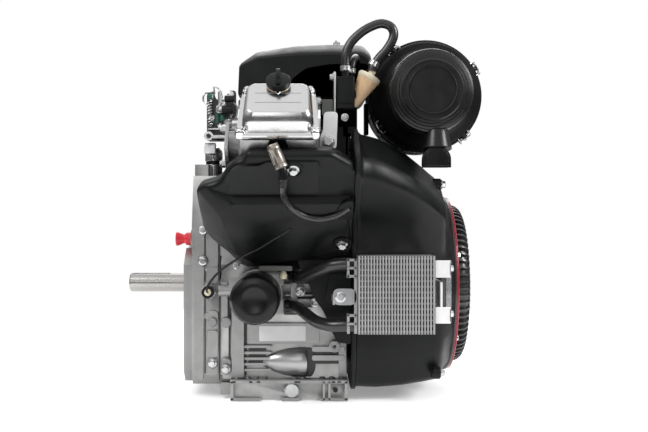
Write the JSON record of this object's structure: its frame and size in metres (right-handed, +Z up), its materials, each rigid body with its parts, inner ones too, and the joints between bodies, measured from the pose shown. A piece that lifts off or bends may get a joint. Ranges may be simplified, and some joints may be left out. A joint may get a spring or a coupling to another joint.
{
  "type": "small gasoline engine",
  "caption": "Air-cooled V-twin gasoline engine with a horizontal keyed output shaft, oil cooler, spin-on oil filter and canister air cleaner.",
  "frame": {"origin": "on the mounting plane under the crankshaft, midway along the feet", "axes": "+X along the crankshaft away from the output end, +Z up, -Y the side with the oil filter and cooler"},
  "size_m": [0.5251, 0.5748, 0.5435],
  "materials": {
    "cast_aluminium": "sand cast, satin, with machined faces",
    "bright_aluminium": "die cast and tumbled, bright satin",
    "machined_steel": "turned and ground, lightly oiled",
    "zinc_plate": "zinc plated sheet and fasteners",
    "cooler_aluminium": "bare brazed fins, bright",
    "black_plastic": "fine moulded grain, satin black",
    "black_paint": "smooth satin black paint",
    "black_rubber": "matt black rubber",
    "red_paint": "bright red gloss paint",
    "red_plastic": "soft red plug",
    "amber_plastic": "tan translucent moulding",
    "filter_paper": "pleated paper"
  },
  "bodies": {
    "root": {"crankcase": "cast_aluminium", "crankcase_cover": "cast_aluminium", "output_shaft_seal": "black_rubber", "transit_plug": "red_plastic", "oil_pressure_switch": "black_plastic", "drain_plug": "zinc_plate", "valley_breather": "cast_aluminium", "oil_filter_adapter": "cast_aluminium", "oil_filter": "black_paint", "oil_cooler": "cooler_aluminium", "cooler_bracket_left": "zinc_plate", "cooler_bracket_right": "zinc_plate", "upper_cooler_hose": "black_rubber", "lower_cooler_hose": "black_rubber", "near_cylinder_barrel": "cast_aluminium", "near_cylinder_head": "cast_aluminium", "near_valve_cover": "bright_aluminium", "near_spark_plug": "zinc_plate", "near_plug_boot": "zinc_plate", "near_plug_lead": "black_rubber", "near_ignition_coil": "black_plastic", "near_cylinder_shroud": "black_plastic", "far_cylinder_barrel": "cast_aluminium", "far_cylinder_head": "cast_aluminium", "far_valve_cover": "bright_aluminium", "far_spark_plug": "zinc_plate", "far_plug_boot": "zinc_plate", "far_plug_lead": "black_rubber", "far_ignition_coil": "black_plastic", "far_cylinder_shroud": "black_plastic", "blower_housing": "black_plastic", "trim_ring": "red_paint", "fan_guard": "black_plastic", "starter_motor": "black_paint", "intake_manifold": "cast_aluminium", "carburettor": "cast_aluminium", "control_bracket": "zinc_plate", "top_cover": "black_plastic", "intake_duct": "black_plastic", "fuel_pump_bracket": "zinc_plate", "fuel_pump": "black_plastic", "fuel_filter": "amber_plastic", "fuel_hose": "black_rubber", "air_cleaner_body": "black_plastic", "air_cleaner_cover": "black_plastic", "filter_element": "filter_paper", "dust_ejector": "black_rubber", "canister_strap": "zinc_plate", "switch_wire": "black_rubber"},
    "crank_train": {"crankshaft": "machined_steel", "flywheel": "cast_aluminium", "cooling_fan": "black_plastic"},
    "camshaft_body": {"camshaft": "machined_steel"},
    "throttle_lever_body": {"throttle_lever": "machined_steel"},
    "choke_lever_body": {"choke_lever": "zinc_plate"},
    "governor_arm_body": {"governor_arm": "zinc_plate"},
    "oil_filler_cap_body": {"oil_filler_cap": "black_plastic"},
    "starter_pinion_body": {"starter_pinion": "machined_steel"},
    "near_piston_body": {"near_piston": "bright_aluminium"},
    "far_piston_body": {"far_piston": "bright_aluminium"}
  },
  "joints": [
    {"name": "crankshaft_spin", "type": "hinge", "parent": "root", "child": "crank_train", "pos_m": [0, 0, 0.162], "axis": [1, 0, 0], "continuous": true},
    {"name": "camshaft_spin", "type": "hinge", "parent": "root", "child": "camshaft_body", "pos_m": [0, 0, 0.252], "axis": [1, 0, 0], "continuous": true},
    {"name": "throttle_lever_pivot", "type": "hinge", "parent": "root", "child": "throttle_lever_body", "pos_m": [-0.104, -0.066, 0.425], "axis": [0, 1, 0], "range_deg": [-15, 40]},
    {"name": "choke_lever_pivot", "type": "hinge", "parent": "root", "child": "choke_lever_body", "pos_m": [0.002, -0.032, 0.424], "axis": [0, 1, 0], "range_deg": [0, 75]},
    {"name": "governor_arm_pivot", "type": "hinge", "parent": "root", "child": "governor_arm_body", "pos_m": [-0.09, 0.013, 0.345], "axis": [0, 1, 0], "range_deg": [-8, 10]},
    {"name": "oil_filler_cap_turn", "type": "hinge", "parent": "root", "child": "oil_filler_cap_body", "pos_m": [-0.012, -0.24324, 0.44201], "axis": [0, -0.7071, 0.7071], "range_deg": [0, 90]},
    {"name": "starter_pinion_throw", "type": "slide", "parent": "root", "child": "starter_pinion_body", "axis": [1, 0, 0], "range_m": [0, 0.013]},
    {"name": "near_piston_stroke", "type": "slide", "parent": "root", "child": "near_piston_body", "axis": [0, -0.7071, 0.7071], "range_m": [-0.0623, 0.013]},
    {"name": "far_piston_stroke", "type": "slide", "parent": "root", "child": "far_piston_body", "axis": [0, 0.7071, 0.7071], "range_m": [-0.0623, 0.013]}
  ],
  "couplings": [
    {"joint": "camshaft_spin", "follows": "crankshaft_spin", "ratio": -0.5}
  ]
}
